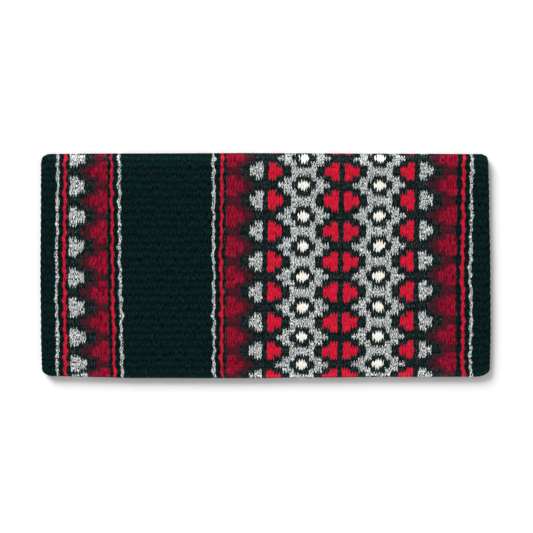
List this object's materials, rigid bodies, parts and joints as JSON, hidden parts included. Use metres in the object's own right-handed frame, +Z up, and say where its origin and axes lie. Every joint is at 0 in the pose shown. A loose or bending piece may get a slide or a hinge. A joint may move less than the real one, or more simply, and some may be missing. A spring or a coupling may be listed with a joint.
{
  "type": "saddle blanket",
  "caption": "Western saddle blanket of heavy ribbed wool, folded once along the spine line, with stepped bands of red, wine, grey and cream on black.",
  "frame": {"origin": "middle of the folded blanket's footprint, on the surface that it lies on", "axes": "+X along the fold and the ribs, +Y from the hems to the fold, +Z up through the two layers"},
  "size_m": [0.9164, 0.458, 0.0176],
  "materials": {
    "wool": "matte ribbed wool, black with woven bands of red, wine, grey and cream"
  },
  "bodies": {
    "root": {"blanket": "wool"}
  },
  "joints": []
}
